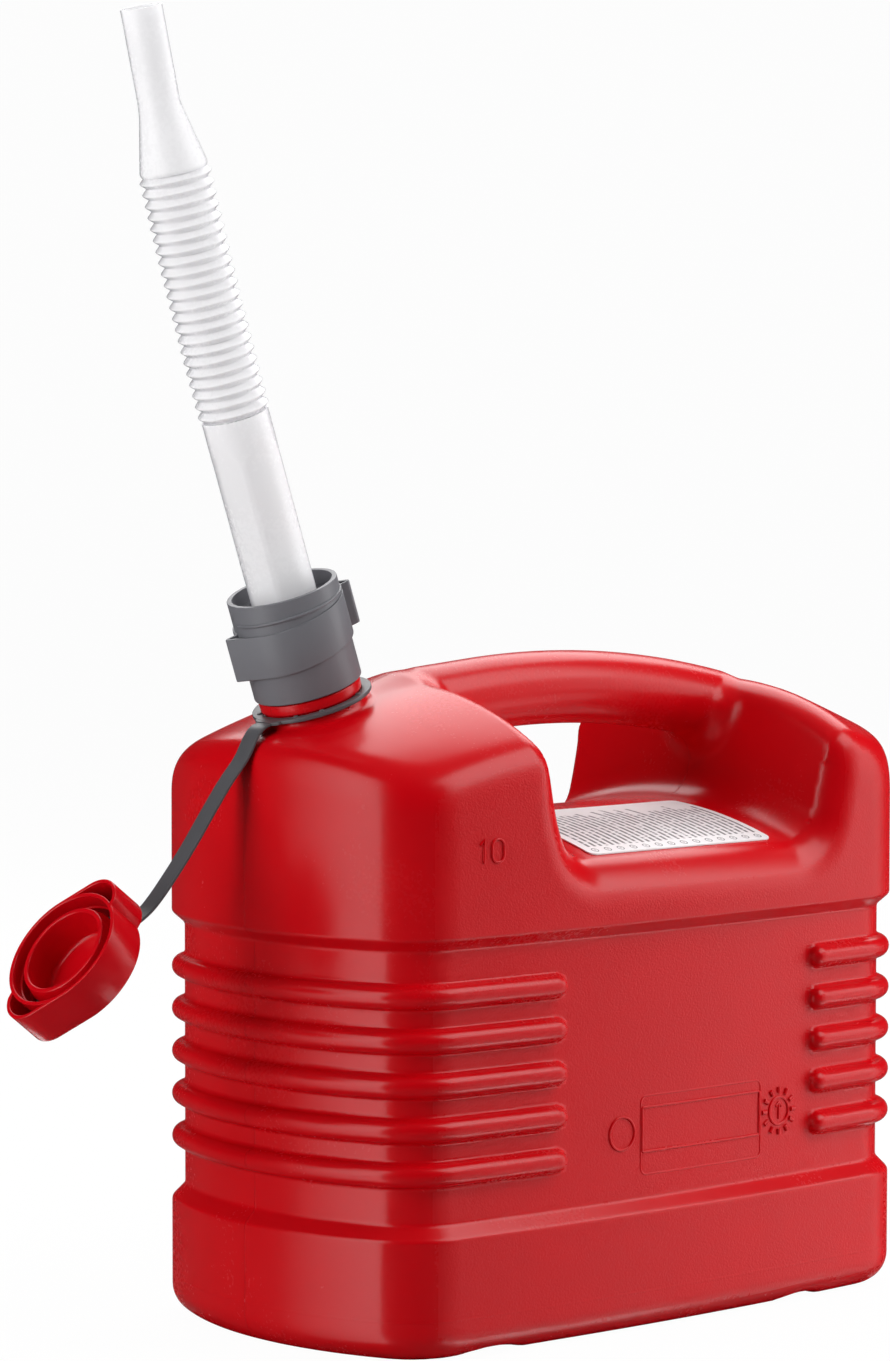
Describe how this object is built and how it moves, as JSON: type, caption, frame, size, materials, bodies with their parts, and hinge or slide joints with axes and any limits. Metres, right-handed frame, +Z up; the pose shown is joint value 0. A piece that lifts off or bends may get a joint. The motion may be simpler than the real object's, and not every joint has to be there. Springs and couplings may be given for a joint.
{
  "type": "fuel can",
  "caption": "Moulded fuel can with a carrying handle, ribbed waist, winged screw collar, bending pouring spout and a tethered winged cap.",
  "frame": {"origin": "middle of the can's flat base, in the mould's parting plane", "axes": "+Z up, X along the can's length with the neck at the -X end, Y across it"},
  "size_m": [0.4304, 0.1772, 0.537],
  "materials": {
    "can_red": "semi-gloss moulded, lightly grained on the broad sides",
    "cap_red": "smooth semi-gloss moulded",
    "closure_grey": "satin moulded",
    "spout_milky": "milky translucent, smooth",
    "seal_black": "matt",
    "label_white": "printed film, satin"
  },
  "bodies": {
    "can": {"can_body": "can_red", "label": "label_white"},
    "lift_set": {"neck_gasket": "seal_black"},
    "collar": {"collar": "closure_grey"},
    "spout": {"spout_tube": "spout_milky", "bellows_lower": "spout_milky"},
    "spout_middle": {"bellows_mid": "spout_milky"},
    "nozzle": {"bellows_upper": "spout_milky", "spout_nozzle": "spout_milky"},
    "tether_ring": {"tether_ring": "closure_grey"},
    "strap": {"tether_strap_upper": "closure_grey", "tether_strap_lower": "closure_grey"},
    "eyelet": {"tether_eyelet": "closure_grey"},
    "cap": {"cap": "cap_red", "cap_seal": "seal_black"}
  },
  "joints": [
    {"name": "collar_lift", "type": "slide", "parent": "can", "child": "lift_set", "axis": [-0.3256, 0, 0.9455], "range_m": [0, 0.01]},
    {"name": "collar_turn", "type": "hinge", "parent": "lift_set", "child": "collar", "pos_m": [-0.1248, 0, 0.26221], "axis": [-0.3256, 0, 0.9455], "range_deg": [0, 600]},
    {"name": "spout_turn", "type": "hinge", "parent": "lift_set", "child": "spout", "pos_m": [-0.1248, 0, 0.26221], "axis": [-0.3256, 0, 0.9455], "continuous": true},
    {"name": "spout_bend_lower", "type": "hinge", "parent": "spout", "child": "spout_middle", "pos_m": [-0.169, 0, 0.3907], "axis": [0, 1, 0], "range_deg": [-40, 40], "deforming": ["bellows_lower"]},
    {"name": "spout_bend_upper", "type": "hinge", "parent": "spout_middle", "child": "nozzle", "pos_m": [-0.1896, 0, 0.456], "axis": [0, 1, 0], "range_deg": [-40, 40], "deforming": ["bellows_upper"]},
    {"name": "ring_swivel", "type": "hinge", "parent": "can", "child": "tether_ring", "pos_m": [-0.1248, 0, 0.26221], "axis": [-0.3256, 0, 0.9455], "range_deg": [-50, 50]},
    {"name": "strap_lift", "type": "hinge", "parent": "tether_ring", "child": "strap", "pos_m": [-0.151, 0, 0.25015], "axis": [0, 1, 0], "range_deg": [0, 80], "deforming": ["tether_strap_upper"]},
    {"name": "cap_flip", "type": "hinge", "parent": "strap", "child": "eyelet", "pos_m": [-0.2076, 0, 0.18154], "axis": [0, 1, 0], "range_deg": [-30, 60], "deforming": ["tether_strap_lower"]},
    {"name": "cap_turn", "type": "hinge", "parent": "eyelet", "child": "cap", "pos_m": [-0.251, 0, 0.1684], "axis": [-0.788, 0, 0.6157], "continuous": true}
  ],
  "couplings": [
    {"joint": "collar_lift", "follows": "collar_turn", "m_per_rad": 0.00095493}
  ]
}
